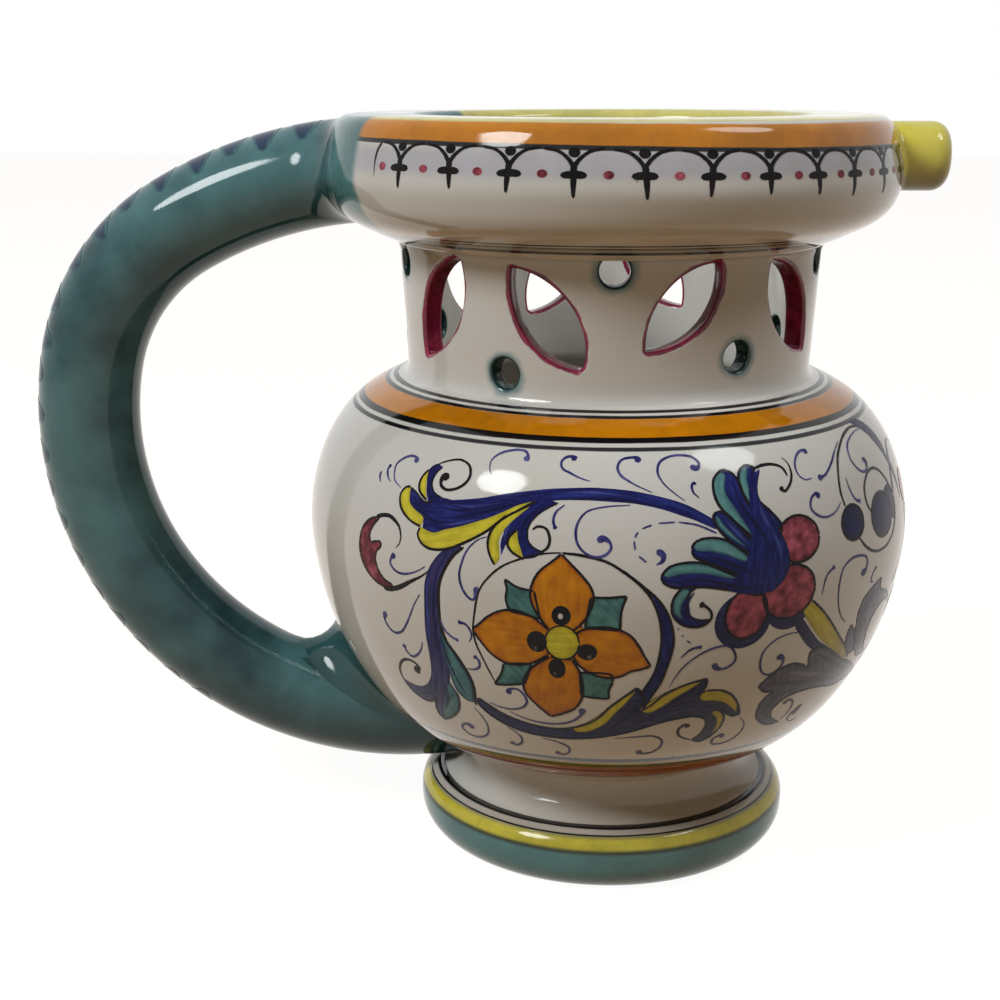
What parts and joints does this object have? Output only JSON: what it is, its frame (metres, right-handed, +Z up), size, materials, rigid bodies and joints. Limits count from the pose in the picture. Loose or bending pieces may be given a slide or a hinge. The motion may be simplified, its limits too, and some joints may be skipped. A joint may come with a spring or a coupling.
{
  "type": "puzzle jug",
  "caption": "Glazed earthenware puzzle jug with a pierced neck, a hollow handle and rim that carry the drink, and a spout opposite the handle.",
  "frame": {"origin": "centre of the foot's resting plane, on the jug's turning axis", "axes": "+Z up along the turning axis, +X towards the spout, -X towards the handle, -Y the painted front"},
  "size_m": [0.173, 0.1142, 0.14],
  "materials": {
    "white_glaze": "glossy",
    "teal_glaze": "glossy",
    "yellow_glaze": "glossy",
    "ochre_glaze": "glossy"
  },
  "bodies": {
    "root": {"foot": "teal_glaze", "belly": "white_glaze", "neck": "white_glaze", "mouth_ring": "white_glaze", "rim_shell": "white_glaze", "rim_cap": "ochre_glaze", "handle": "teal_glaze", "handle_root_coil": "teal_glaze", "spout": "yellow_glaze", "spout_coil": "yellow_glaze"}
  },
  "joints": []
}
